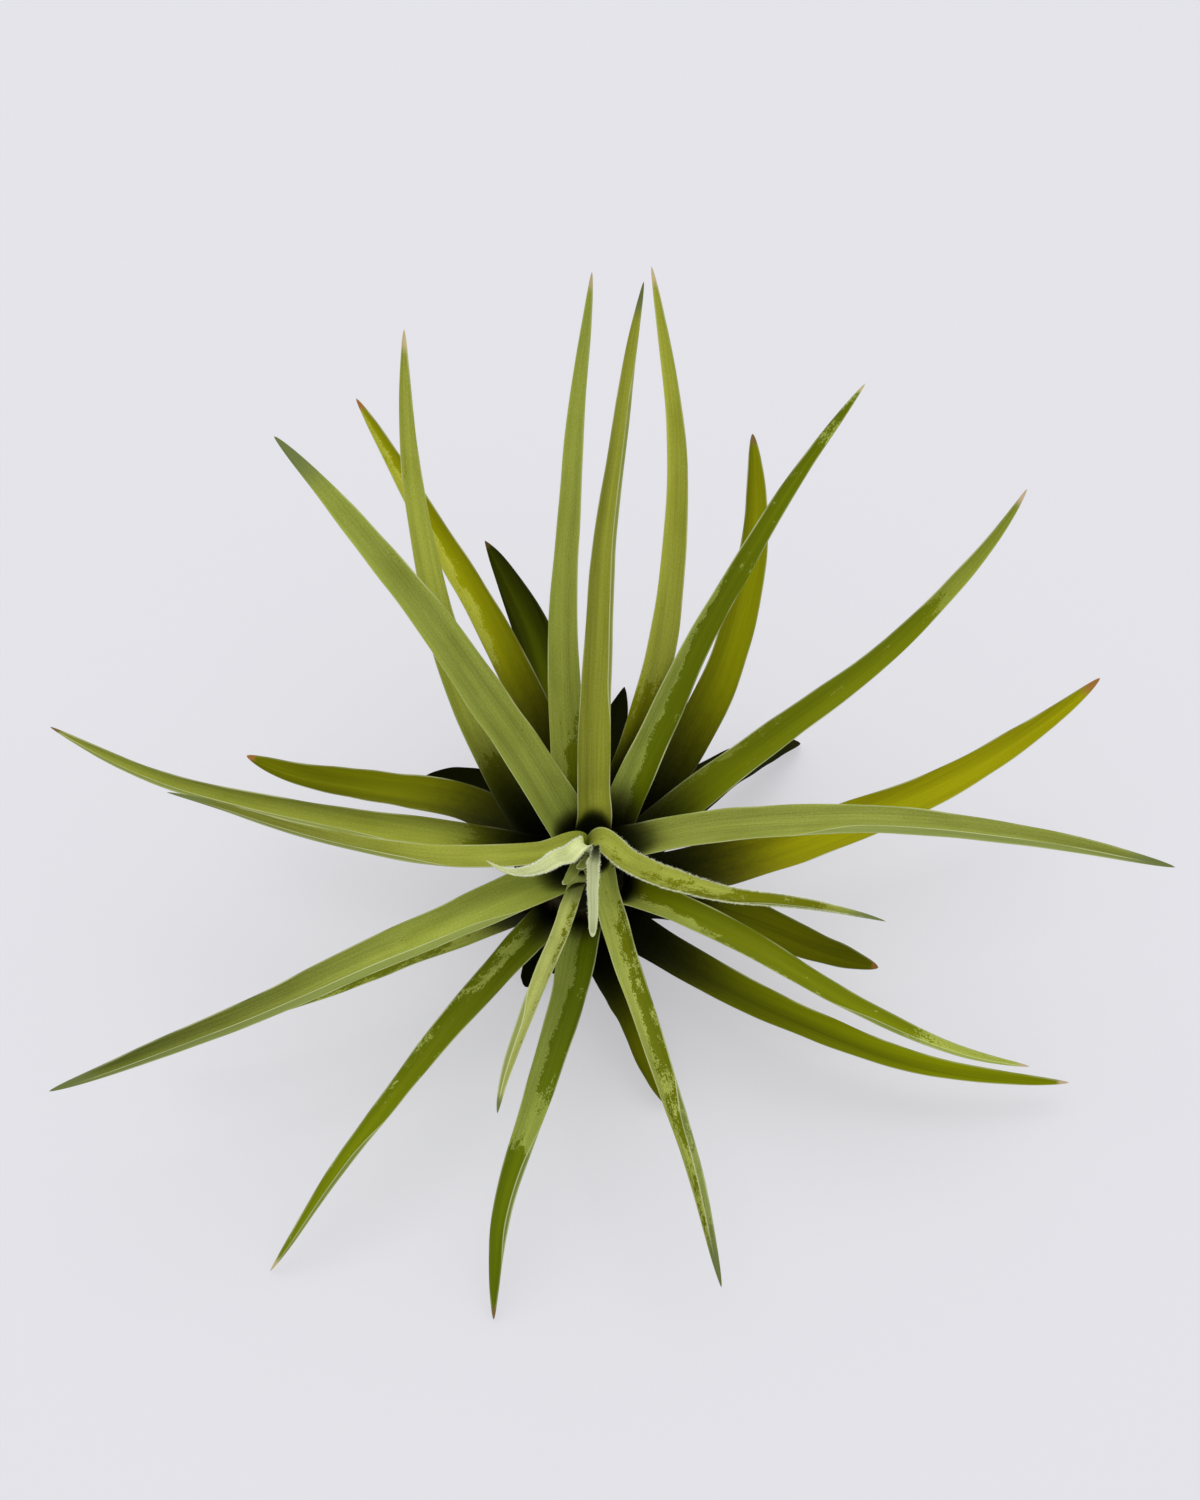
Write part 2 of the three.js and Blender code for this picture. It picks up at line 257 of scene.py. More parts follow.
tipColours = {
    "orange": (0.42, 0.2, 0.05),
    "cream": (0.66, 0.55, 0.3),
    "grey": (0.19, 0.225, 0.07),
    "brown": (0.24, 0.16, 0.05),
    "straw": (0.6, 0.48, 0.3),
    "pale": (0.66, 0.7, 0.42),
}
leafLooks = {
    "young_leaf_1": dict(
        yellow=0.45, bloom=1.4, light=1.25, outer=0.7, sides=-0.25, root=0, tip="pale", woolly=1, slim=0.78,
        neck=0.35,
    ),
    "young_leaf_2": dict(
        yellow=0.25, bloom=1.6, light=0.74, sides=-0.3, root=0.25, tip="pale", woolly=0.1, slim=0.77,
        tipTaper=0.35, neck=0.5,
    ),
    "young_leaf_3": dict(
        bloom=1, light=0.72, root=0.1, tip="pale", start=0.8, rise=0.95, slim=0.9, tipTaper=0.4,
    ),
    "young_leaf_4": dict(
        bloom=0.95, light=0.68, root=0.1, tip="pale", start=0.8, rise=0.95, slim=0.9, tipTaper=0.4,
    ),
    "inner_leaf_1": dict(
        yellow=0.6, bloom=0.42, light=0.82, outer=1.36, lean=-0.12, root=0.04, fade=0.9,
        fold=(0.12, 0.92, -0.82, -0.6, -1), start=4.2,
    ),
    "inner_leaf_2": dict(
        yellow=0.5, bloom=0.58, light=1.15, outer=0.42, lean=-0.12, root=0, fade=0.8,
        fold=(0.3, 1, 0.5, 0.2, 1), start=0.5, rise=0.85, neck=0.25,
    ),
    "inner_leaf_3": dict(
        yellow=0.5, bloom=0.7, dry=0.75, light=1.15, outer=0.7, lean=0.15, root=0, fade=0.8, woolly=0.5,
        patches=[(1, 0, 0.2, 0.2, 0.5, 1), (0.45, 0.2, 0.6, 0.1, 0.2, -1), (0.1, 0.58, 0.8)],
        fold=(0.5, 1, -0.5, -0.1, -1), start=-0.8, neck=0.25,
    ),
    "inner_leaf_4": dict(
        yellow=0.5, bloom=1.05, light=1.05, outer=0.8, lean=-0.15, root=0.025, fade=0.92,
        patches=[(0.6, 0.1, 0.7, 0.1, 0.3, 1)], fold=(0.6, 1, -0.3, 0, -1), start=0.5, lift=4, rise=0.9,
        full=4,
    ),
    "inner_leaf_5": dict(
        bloom=0.85, outer=0.9, lean=-0.08, root=0.02, fade=0.8,
        patches=[(0.36, 0.1, 0.66, 0, -0.5, 1), (0.5, 0.61, 1, -0.9, -0.9, 1)], fold=(0.5, 1, 0.5, 0, 1),
        start=1, lift=2, rise=0.9,
    ),
    "inner_leaf_6": dict(
        yellow=0.22, bloom=0.55, light=0.88, outer=1.22, sides=-0.25, lean=0.12, streak=0.05, root=0.06,
        fade=0.8,
    ),
    "inner_leaf_7": dict(
        bloom=0.7, light=0.85, sides=-0.25, lean=-0.1, streak=0.05, root=0.11, fade=0.85,
        fold=(0.3, 1, -0.35, 0.1, -1),
    ),
    "inner_leaf_8": dict(
        outer=1.2, sides=-0.15, lean=0.15, root=0.1, tip="cream", fade=0.95,
        patches=[(0, 0, 0.19, 0.3, 0, -1)],
    ),
    "inner_leaf_9": dict(
        yellow=0.25, bloom=0.52, light=1.2, outer=0.45, lean=0.22, root=0.07, fade=0.85,
        fold=(0.08, 1, 0.62, 0.12, 1), start=2.5, rise=0.75,
    ),
    "inner_leaf_10": dict(
        yellow=0.18, light=0.93, outer=1.35, root=0.14, tip="cream", fade=0.975,
        patches=[(0, 0, 0.62, -0.25, 0.8, -1), (0.15, 0.56, 1), (0.5, 0.86, 1)],
        fold=(0.05, 0.6, -0.94, -0.94, -1),
    ),
    "outer_leaf_1": dict(
        yellow=0.62, bloom=0.52, light=0.82, outer=1.35, sides=-0.15, lean=0.2, root=0.28, tip="cream",
        fade=0.955, patches=[(0.2, 0, 0.33)],
    ),
    "outer_leaf_2": dict(
        yellow=0.4, bloom=0.4, lean=0.3, root=0.2, tip="brown", fade=0.96, patches=[(0, 0, 0.17)],
        fold=(0.25, 1, 0.66, 0.1, 1),
    ),
    "outer_leaf_3": dict(
        yellow=0.1, bloom=0.46, light=0.95, outer=1.4, root=0.12, tip="brown", fade=0.95,
        patches=[(0.1, 0, 0.5, 0.1, -0.3, 1), (0, 0.61, 1)], fold=(0.5, 0.93, 0.7, 0.5, 1),
    ),
    "outer_leaf_4": dict(
        bloom=0.62, dry=0, light=1.25, outer=1.2, lean=-0.1, root=0.08, tip="straw", fade=0.96,
        patches=[(0.9, 0.03, 0.27, 0.1, -0.3, -1), (0.55, 0.3, 0.5, -0.7, -0.5, -1), (0.8, 0.72, 1)],
        fold=(0.5, 1, -0.5, 0, -1),
    ),
    "outer_leaf_5": dict(
        yellow=0.45, outer=1.12, lean=0.1, root=0.29, tip="cream", fade=0.94, patches=[(0.1, 0, 0.23)],
    ),
    "outer_leaf_6": dict(
        yellow=0.28, bloom=0.3, light=1.14, outer=1.12, lean=-0.2, root=0.24, tip="straw", fade=0.95,
        patches=[(0.1, 0, 0.75), (0.85, 0.06, 0.16, 0.5, 0.6, 1), (0.7, 0.2, 0.4, 0.7, 0.7, 1)],
    ),
    "outer_leaf_7": dict(
        yellow=0.22, bloom=0.75, dry=0.05, outer=1.6, root=0.14, tip="cream", fade=0.95,
        patches=[
            (0.8, 0.08, 0.32, 0, -0.2, -1), (0, 0.06, 0.34, -0.6, -0.7, -1),
            (0.35, 0.32, 0.6, -0.2, -0.4, -1),
        ],
        fold=(0.55, 1, 0.5, 0.2, 1),
    ),
    "outer_leaf_8": dict(
        yellow=0.38, bloom=0.15, dry=0, light=0.9, outer=1.6, sides=-0.1, streak=-0.3, gloss=0.06,
        root=0.32, tip="straw", fade=0.965,
    ),
    "outer_leaf_9": dict(
        yellow=0.62, bloom=0.1, dry=0, light=1.15, sides=0.2, lean=-0.3, gloss=0.08, root=0.45, tip="brown",
        fade=0.96,
    ),
    "outer_leaf_10": dict(
        yellow=0.6, bloom=0.3, dry=0, light=1.14, outer=0.66, sides=0.1, lean=-0.15, gloss=0.08, root=0.48,
        tip="orange", fade=0.96, patches=[(0.7, 0.2, 0.7, 0.8, 0.8, 1)],
    ),
    "outer_leaf_11": dict(
        yellow=1, bloom=0.1, dry=0, light=1.3, sides=0.1, lean=-0.15, gloss=0.08, root=0.33, tip="orange",
        fade=0.935,
    ),
    "outer_leaf_12": dict(
        dry=0.1, root=0.2, patches=[(0.85, 0.12, 0.3, 0.3, 0.2, 1), (0.6, 0.3, 0.6, 0.6, 0.5, 1)],
    ),
    "outer_leaf_13": dict(
        yellow=0.76, bloom=0.5, dry=0, outer=1.4, sides=0.2, lean=0.2, streak=0.2, gloss=0.08, root=0.45,
        tip="orange", fade=0.96, patches=[(0.75, 0.42, 1, 0.1, -0.3, 1)],
    ),
    "old_leaf_1": dict(
        yellow=0.55, bloom=0, dry=0, dark=0.35, sides=0.3, gloss=0.06, root=0.6, tip="brown",
    ),
    "old_leaf_2": dict(
        yellow=0.6, bloom=0, dry=0, dark=0.3, light=0.85, sides=0.2, gloss=0.06, root=0.5, tip="orange",
        fade=0.965,
    ),
    "old_leaf_3": dict(
        yellow=0.2, bloom=0, dry=0, dark=0.55, outer=0.75, sides=0.7, streak=0.9, gloss=0.08, root=0.5,
        tip="brown", fade=0.965, tipTaper=0.8,
    ),
    "old_leaf_4": dict(bloom=0, dry=0, dark=0.985, sides=0.5, root=0.6, tip="brown"),
    "old_leaf_5": dict(
        bloom=0, dry=0, dark=0.985, sides=0.5, root=0.6, tip="brown", full=2.8, tipTaper=0.85,
    ),
    "old_leaf_6": dict(bloom=0, dry=0, dark=0.9, sides=0.5, root=0.6, tip="brown"),
    "old_leaf_7": dict(bloom=0, dry=0, dark=0.99, sides=0.5, root=0.8, tip="brown"),
}


sheath = {
    "length": 8,  # how far a leaf's base runs down the stem
    "lowest": 1,  # and the lowest height where it starts
    "flare": 0.45,  # how much wider it is than the blade
    "wrapRadius": 9,  # of its curve round the stem
    "rootDepth": 1,  # how deep in the stem the blade's curve starts
    "cover": 0.7,  # and the sheath, at least
    "join": 7,  # where it meets the blade, along the blade
    "joinShare": 0.3,  # or at this share, if that is less
    "rise": 0.5,  # how far it climbs first, as a share of the way there
    "pull": 0.35,  # and how far back it aims into the join
    "heartLevel": 41,  # leaves from here up grow inside the crown
    "heartFlare": 0.1,
    "heartWrap": 0.32,  # the depth of its curve, as a share of the width
    "heartJoin": 9,
    "heartRise": 0.95,
    "heartRadius": 1.2,  # how far from the stem's middle the youngest leaf starts
    "rootSpacing": 0.75,  # how much further out others start, for each millimetre lower down
}

blade = {
    "seed": 100,
    "curvePoints": 500,
    "sheathPoints": 80,
    "joinStep": 0.5,  # the steps over which directions are read
    "ringStep": 0.4,
    "rings": 150,  # along one leaf
    "evenness": 0.75,  # less than 1 puts the rings closer together at both ends
    "acrossPoints": 27,  # over each face
    "middleThickness": 1.2,
    "marginThickness": 0.5,
    "tipThickness": 0.35,
    "marginClosing": 0.97,  # how far the faces close there
    "tipClosing": 0.6,  # and at the last ring
    "tipPoint": 0.15,  # how far the point stands beyond that ring
    "thinBelow": 2.5,  # a width below which it is thinner too
    "taper": 0.8,  # the width falls as (1 - share^full) to this power
    "tipFrom": 0.4,  # from here on that goes over to the look's own power
    "widthWander": 0.04,  # as a share of the width
    "sway": 0.35,  # how far its middle line wanders to either side
    "narrow": 6,  # a width below which it sways less and has lower ribs
    "twist": 3,  # degrees
    "channelAtMiddle": 0.13,  # depths of the channel, as shares of the width
    "channelAtRoot": 0.12,
    "channelAtTip": 0.32,
    "rootSpan": 0.22,  # the share of the length that is deeper towards the root
    "vShape": 0.8,  # how far the channel folds to a V towards the tip
    "vRounding": 0.1,
    "ripple": 0.02,  # of the margins, as a share of the width
    "ribs": 6,  # low ribs over each face
    "ribHeight": 0.02,
}

# The waves of each wander: how often each repeats over a leaf, or in a millimetre of a woolly one.
waves = {
    "width": (1.3, 3.1, 6.7),
    "sway": (0.8, 1.7, 2.9),
    "woolWidth": (0.7, 1.1, 1.7),
    "ripple": (2.3, 4.9, 9.1),
    "woolRipple": (0.5, 0.9, 1.3),
    "twist": (0.6, 1.1),
    "light": (0.7, 1.9, 3.3),
}

shading = {
    "drift": 0.05,  # how far the brightness drifts along a leaf
    # the streak is painted light along a leaf's middle
    "streakPlace": 0.2,  # how far off the middle the streak may lie, in half widths
    "streakWidth": 0.28,
    "rootBow": 0.02,  # how much further the dark root, painted shade, reaches in the middle of the channel
    "rootSpan": (0.15, 1.5),  # from where to where it fades, in root shares
    "patchEdge": 0.4,  # softness of a patch's edge, in half widths
    "patchEnd": 0.06,  # and of its ends, in shares of the length
    "foldFrom": 1.15,  # where a fold starts, in half widths
    "foldSpan": 0.16,  # the share of the length over which it comes in from there
    "faded": 0.99,  # the share of the length where the tip's colour is full
}

wool = {
    "hairs": 5000,
    "length": 0.32,
    "lengthRange": (0.4, 1.3),
    "thickness": 0.045,
    "spread": 0.09,  # of the roots beside the margin
    "tilt": 0.9,
    "sink": 0.1,  # how deep the roots stand in the leaf
    "widthWander": 0.07,  # how much more a woolly leaf wanders and ripples
    "ripple": 4,
    "colour": (0.92, 0.95, 0.72),
    "roughness": 0.9,
}


# One leaf's values: the usual look, then its row, then what its own look changes.
def describeLeaf(name):
    level, heading, width, full, *points = leafShapes[name]
    row = dict(
        level=level, width=width, full=full, points=[np.array(p, float) for p in points],
        outwards=np.array([np.cos(radians(heading)), np.sin(radians(heading)), 0]),
        inHeart=level >= sheath["heartLevel"],
    )
    return SimpleNamespace(**{**usualLook, **row, **leafLooks[name]})


# The blade's middle line: the cubic curve from inside the stem that meets the row's points at its thirds
# and at its end, with its two inner Bezier points worked out from those four.
def bladeCurve(leaf):
    p0 = stemCentre(leaf.level) + leaf.outwards * (stemRadius(np.array(leaf.level)) - sheath["rootDepth"])
    p1, p2, p3 = leaf.points
    near = (-5 * p0 + 18 * p1 - 9 * p2 + 2 * p3) / 6
    far = (-5 * p3 + 18 * p2 - 9 * p1 + 2 * p0) / 6
    return bezier((p0, near, far, p3), np.linspace(0, 1, blade["curvePoints"]))


# The sheath's middle line: a cubic curve that starts low in the stem, climbs along it and runs into the
# blade at the join, in the blade's own direction.
def sheathCurve(leaf, joinPlace, joinAlong):
    highest = max(row[0] for row in leafShapes.values())
    start, rise = leaf.start, leaf.rise
    if start is None:
        start = sheath["heartRadius"] + sheath["rootSpacing"] * (highest - leaf.level)
    if rise is None:
        rise = sheath["heartRise"] if leaf.inHeart else sheath["rise"]
    low = max(leaf.level - sheath["length"] + leaf.lift, sheath["lowest"])
    start = min(start, stemRadius(np.array(low)) - sheath["cover"])
    foot = stemCentre(low) + leaf.outwards * start
    reach = np.linalg.norm(joinPlace - foot)
    climbed = foot + stemUp * rise * reach
    turned = joinPlace - joinAlong * sheath["pull"] * reach
    return bezier((foot, climbed, turned, joinPlace), np.linspace(0, 1, blade["sheathPoints"]))


# A leaf's line, the sheath and then the blade, read at its rings: places, the ways along it, to its left
# and up out of its channel, which turns from facing the stem to facing up from the blade's chord. share is
# the share of the blade (0 in the sheath), inSheath of the sheath (1 in the blade), reached the length.
def leafLine(leaf):
    curve = bladeCurve(leaf)
    lengths = lengthsAlong(curve)
    whole = lengths[-1]
    join = min(sheath["heartJoin"] if leaf.inHeart else sheath["join"], sheath["joinShare"] * whole)
    joinPlace, ahead = readAt(curve, lengths, np.array([join, join + blade["joinStep"]]))
    base = sheathCurve(leaf, joinPlace, unit(ahead - joinPlace))
    sheathWhole = lengthsAlong(base)[-1]
    line = np.vstack([base[:-1], curve[lengths > join]])
    lineLengths = lengthsAlong(line)
    rings = np.linspace(0, 1, blade["rings"])
    reached = lineLengths[-1] * (blade["evenness"] * rings + (1 - blade["evenness"]) * ease(rings))
    before, after = (readAt(line, lineLengths, reached + s * blade["ringStep"]) for s in (-1, 1))
    along = unit(after - before)
    inSheath = np.clip(reached / sheathWhole, 0, 1)
    chord = unit(curve[-1] - curve[0])
    facing = unit(stemUp - chord * (stemUp @ chord))
    turn = ease(inSheath)[:, None]
    faces = unit((1 - turn) * -leaf.outwards + turn * facing)
    side = unit(np.cross(faces, along))
    return SimpleNamespace(
        places=readAt(line, lineLengths, reached), along=along, side=side, up=np.cross(along, side),
        share=np.clip((reached - sheathWhole + join) / whole, 0, 1), inSheath=inSheath, reached=reached,
    )


# How dry each ring point is: the leaf's own dryness, with each patch eased in over it.
def dryness(leaf, share, across):
    soft = shading["patchEnd"]
    dry = np.full(np.broadcast(share, across).shape, float(leaf.dry))
    for value, start, end, *part in leaf.patches:
        edgeStart, edgeEnd, side = part or (-1.5, -1.5, 1)  # beyond the right margin: the whole width
        edge = ramp(share, start, end, edgeStart, edgeEnd)
        inside = ease(side * (across - edge), -shading["patchEdge"], shading["patchEdge"])
        inside = inside * (ease(share, start - soft, start + soft) if start > 0 else 1)
        inside = inside * (1 - ease(share, end - soft, end + soft) if end < 1 else 1)
        dry = dry + (value - dry) * inside
    return dry


# How bright each ring point is, mostly painted light and shade: the sides darken by the square of the place
# across as painted shade of the leaf's curve, one side is paler as painted light, there is one pale streak
# of painted light along the middle, and the leaf's light and outer set the brightness of the whole leaf and
# its end, partly its own tone and partly painted light and shade. The whole also drifts along the leaf, a
# tone that differs at random.
def toneAndPaintedLight(random, leaf, share, across):
    middle = random.uniform(-shading["streakPlace"], shading["streakPlace"])
    drift = shading["drift"] * wander(random, share, waves["light"])
    streak = leaf.streak * np.exp(-(((across - middle) / shading["streakWidth"]) ** 2))
    streak = streak * (1 - ease(share, 0.6, 1))
    shades = 1 + drift - leaf.sides * across**2 + leaf.lean * across + streak
    return leaf.light * (1 + (leaf.outer - 1) * ease(share, 0.25, 0.8)) * shades


# How far each ring point darkens towards the stem, partly the brown of the sheath and partly painted shade
# deep in the crown, over the leaf's root share of its length and a little further along the middle.
def rootShade(leaf, share, across):
    reach = share + shading["rootBow"] * across**2
    first, last = (part * leaf.root for part in shading["rootSpan"])
    return 1 - ease(reach, first, last) if leaf.root > 0 else 0 * reach


# How far each ring point lies beyond the line where a margin has rolled up, in millimetres. The line leaves
# the margin over a part of the leaf and then follows the look's edges.
def foldPlace(leaf, share, across, wide):
    if leaf.fold is None:
        return np.full(np.broadcast(share, across).shape, -5.0)  # far before a fold
    start, end, edgeStart, edgeEnd, side = leaf.fold
    span = shading["foldSpan"]
    within = ease(share, start, start + span) * (1 - ease(share, end - span, end) if end < 1 else 1)
    edge = ramp(share, start, end, edgeStart, edgeEnd)
    outside = side * shading["foldFrom"]
    return side * (across - outside + (outside - edge) * within) * wide / 2


# A leaf's width at each ring, and its sway to one side. The width falls towards the tip as a power of
# (1 - share^full), widens down the sheath, narrows at the neck and wanders a little.
def leafWidths(random, leaf, line, woolly):
    share = line.share
    taper = blade["taper"] + (leaf.tipTaper - blade["taper"]) * ease(share, blade["tipFrom"], 1)
    wide = leaf.width * leaf.slim * (1 - share**leaf.full) ** taper
    flare = sheath["heartFlare"] if leaf.inHeart else sheath["flare"]
    wide = wide * (1 + flare * (1 - ease(line.inSheath)))
    wide = wide * (1 - leaf.neck * (1 - ease(share, 0.02, 0.3)))
    wide = wide * (1 + blade["widthWander"] * wander(random, share, waves["width"]))
    sway = blade["sway"] * min(1, leaf.width / blade["narrow"]) * wander(random, share, waves["sway"])
    sway = sway * ease(share, 0.05, 0.4)
    wide = wide * (1 + wool["widthWander"] * woolly * wander(random, line.reached, waves["woolWidth"]))
    return wide, sway


# The channel's depth at each ring: a share of the width, greater at the root and growing as the square of
# the share towards the tip, and in the sheath that of an arc round the stem, width^2 / (8 radius).
def channelDepth(leaf, line, wide):
    rootwards = 1 - ease(line.share, 0, blade["rootSpan"])
    bowl = blade["channelAtMiddle"] + blade["channelAtRoot"] * rootwards
    bowl = bowl + blade["channelAtTip"] * line.share**2
    wrap = wide * (sheath["heartWrap"] if leaf.inHeart else wide / (8 * sheath["wrapRadius"]))
    return wide * bowl * ease(line.inSheath) + wrap * (1 - ease(line.inSheath))


# How high the upper face stands over the line at each ring and place across v: as the square of v, folding
# to a V near the tip, with margins that ripple as the cube of v and low ribs as a cosine of v.
def faceHeights(random, leaf, line, wide, woolly, v):
    depth = channelDepth(leaf, line, wide)[:, None]
    fold = blade["vShape"] * ease(line.share, 0.25, 0.8)[:, None]
    crease = np.sqrt(v**2 + blade["vRounding"] ** 2) - blade["vRounding"]
    lift = depth * ((1 - fold) * v**2 + fold * crease)
    ripple = wander(random, line.share, waves["ripple"]) * ease(line.share, 0.05, 0.3)
    ripple = ripple + wool["ripple"] * woolly * wander(random, line.reached, waves["woolRipple"])
    lift = lift + blade["ripple"] * (wide * ripple)[:, None] * np.sign(v) * np.abs(v) ** 3
    ribs = blade["ribHeight"] * np.cos(np.pi * blade["ribs"] * v) * (1 - v**4)
    lift = lift + ribs * np.minimum(1, wide / blade["narrow"])[:, None]
    return lift - depth / 2 * ease(line.inSheath)[:, None]


# How thick the leaf is, and how thick at its last ring's middle: it thins to the margins as the square of v,
# and closes as a high power of v there and of the share at the tip.
def thicknesses(line, wide, v):
    thin = (1 - blade["tipClosing"] * line.share**14) * np.minimum(1, wide / blade["thinBelow"])
    tip = blade["tipThickness"] * line.share
    middle = thin * (blade["middleThickness"] * (1 - line.share) + tip)
    margin = thin * (blade["marginThickness"] * (1 - line.share) + tip)
    thick = margin[:, None] + (middle - margin)[:, None] * (1 - v**2)
    return thick * np.sqrt(1 - blade["marginClosing"] * v**10), middle[-1]


# The values that the skin reads at each ring point, and its place on the leaf in centimetres. inset is the
# distance from the margin in millimetres, and under is 1 on the lower face.
def leafFields(random, leaf, line, wide, v):
    share, wide = line.share[:, None], wide[:, None]
    both = np.concatenate([v, v[:, ::-1]], axis=1) + 0 * share
    fields = {
        "inset": (1 - np.abs(both)) * wide / 2,
        "under": np.concatenate([np.ones_like(v), np.zeros_like(v)], axis=1) + 0 * share,
        "dry": dryness(leaf, share, both),
        # painted light and shade across and along the leaf, with some tone that differs at random
        "paintedLightTone": toneAndPaintedLight(random, leaf, share, both),
        "shade": rootShade(leaf, share, both),
        "end": ease(share, leaf.fade, shading["faded"]) + 0 * both,
        "rolled": foldPlace(leaf, share, both, wide),
    }
    return fields, np.stack([line.reached[:, None] + 0 * both, both * wide / 2], axis=-1) / 10


# A leaf: two faces carried along its line, the lower one under the upper by the thickness. The places
# across, v, follow a sine from -1 to 1, so they lie closer together at the margins.
def buildLeaf(name, leaf, number):
    random = np.random.default_rng(blade["seed"] + number)
    line = leafLine(leaf)
    woolly = leaf.woolly * ease(line.share, 0, 0.1) * (1 - ease(line.share, 0.6, 1))
    wide, sway = leafWidths(random, leaf, line, woolly)
    v = np.sin(np.linspace(-np.pi / 2, np.pi / 2, blade["acrossPoints"]))[None, :]
    lift = faceHeights(random, leaf, line, wide, woolly, v)
    thick, tipMiddle = thicknesses(line, wide, v)
    twist = radians(blade["twist"]) * wander(random, line.share, waves["twist"])[:, None, None]
    sideways = line.side[:, None] * np.cos(twist) + line.up[:, None] * np.sin(twist)
    upwards = line.up[:, None] * np.cos(twist) - line.side[:, None] * np.sin(twist)
    spread = line.places[:, None] + sideways * (v * wide[:, None] / 2 + sway[:, None])[..., None]
    upper = spread + upwards * lift[..., None]
    lower = spread + upwards * (lift - thick)[..., None]
    rings = np.concatenate([lower, upper[:, ::-1]], axis=1)
    point = line.places[-1] + line.along[-1] * blade["tipPoint"] - line.up[-1] * tipMiddle / 2
    fields, cloth = leafFields(random, leaf, line, wide, v)
    piece = tubeMesh("leaf_" + name, rings, np.array([rings[0].mean(axis=0), point]), fields, cloth)
    place(piece, name)
    if woolly.max() > 0:
        outwards = sideways * np.array([-1, 1])[None, :, None]
        hairs = buildWool("wool_" + name, random, upper[:, [0, -1]], outwards, upwards, line.along, woolly)
        place(hairs, name)
    return piece


# Gives a piece to the body and hides the node that it replaces.
def place(piece, node):
    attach(piece, "root")
    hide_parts(node)


# Woolly hairs along a leaf's margins: three-sided spikes on random rings, which stand outwards with a random
# tilt along and over the leaf.
def buildWool(name, random, edges, outwards, upwards, along, amount):
    chance = np.repeat((amount + 1e-9)[:, None], 2, axis=1)  # never quite 0
    count = int(wool["hairs"] * amount.max())
    chosen = random.choice(chance.size, count, p=chance.ravel() / chance.sum())
    ring, margin = np.unravel_index(chosen, chance.shape)
    step = random.uniform(0, 1, count)[:, None]
    after = np.minimum(ring + 1, len(edges) - 1)
    root = edges[ring, margin] * (1 - step) + edges[after, margin] * step
    root = root + random.normal(0, wool["spread"], (count, 3))
    tilt = random.normal(0, wool["tilt"], (count, 2))
    way = unit(outwards[ring, margin] + upwards[ring, 0] * tilt[:, :1] + along[ring] * tilt[:, 1:])
    length = wool["length"] * random.uniform(*wool["lengthRange"], count)[:, None]
    first = unit(np.cross(way, along[ring] + 0.3))  # any direction across the hair
    second = np.cross(way, first)
    turns = np.array([0, 2, 4]) * np.pi / 3
    thick = wool["thickness"] / 2
    sunk = way * wool["sink"]
    corners = [root + thick * (first * np.cos(a) + second * np.sin(a)) - sunk for a in turns]
    points = np.stack(corners + [root + way * length], axis=1)
    base = np.arange(count)[:, None, None] * 4
    faces = base + np.array([[0, 2, 1], [0, 1, 3], [1, 2, 3], [2, 0, 3]])[None]
    mesh = bpy.data.meshes.new(name)
    mesh.from_pydata((points.reshape(-1, 3) * mm).tolist(), [], faces.reshape(-1, 3).tolist())
    mesh.materials.append(bpy.data.materials["woolFibre"])
    return addObject(name, mesh)


# Sets a node's inputs: a number or colour is set on the socket, and a socket is linked to it.
def setInputs(node, inputs):
    for key, value in inputs.items():
        if isinstance(value, bpy.types.NodeSocket):
            node.id_data.links.new(value, node.inputs[key])
        else:
            node.inputs[key].default_value = value


# A new node with its settings and inputs.
def addNode(tree, kind, inputs={}, **settings):
    made = tree.nodes.new(kind)
    for key, value in settings.items():
        setattr(made, key, value)
    setInputs(made, inputs)
    return made


# A new node in the node tree of a socket that is joined to it.
def joinNode(kind, inputs, **settings):
    tree = next(v.id_data for v in inputs.values() if isinstance(v, bpy.types.NodeSocket))
    return addNode(tree, kind, inputs, **settings)


# One operation on two values, kept between 0 and 1 where clamp says so.
def maths(operation, a, b=0.0, clamp=False):
    return joinNode("ShaderNodeMath", {0: a, 1: b}, operation=operation, use_clamp=clamp).outputs[0]


# a + b.
def plus(a, b):
    return maths("ADD", a, b)


# a times b.
def times(a, b):
    return maths("MULTIPLY", a, b)


# A noise made to swing about 0: (noise - 0.5) times a strength.
def swing(noise, strength):
    return times(maths("SUBTRACT", noise, 0.5), strength)


# A smooth mask: 0 below low, 1 above high.
def mask(value, low, high):
    inputs = {"Value": value, "From Min": low, "From Max": high}
    return joinNode("ShaderNodeMapRange", inputs, interpolation_type="SMOOTHSTEP").outputs[0]


# A blend of two colours: a(1 - factor) + b factor.
def blendColours(factor, a, b):
    return joinNode("ShaderNodeMix", {0: factor, 6: a, 7: b}, data_type="RGBA").outputs[2]


# Noise on a vector times a stretch, axis by axis.
def stretchedNoise(vector, stretch, detail, roughness=0.55):
    scaled = joinNode("ShaderNodeVectorMath", {0: vector, 1: stretch}, operation="MULTIPLY").outputs[0]
    inputs = {"Vector": scaled, "Scale": 1.0, "Detail": detail, "Roughness": roughness}
    return joinNode("ShaderNodeTexNoise", inputs).outputs["Fac"]


# A value that the mesh holds at each point.
def attribute(tree, name):
    return addNode(tree, "ShaderNodeAttribute", attribute_name=name).outputs["Fac"]


# An opaque colour.
def colour(r, g, b):
    return (r, g, b, 1.0)


# A fine bump from a height, as a normal.
def relief(height, look):
    inputs = {"Height": height, "Strength": look["bump"], "Distance": look["bumpDepth"]}
    return joinNode("ShaderNodeBump", inputs).outputs[0]


# A new material with nodes, and its shader.
def newMaterial(name):
    made = bpy.data.materials.new(name)
    made.use_nodes = True
    return made, made.node_tree.nodes["Principled BSDF"]


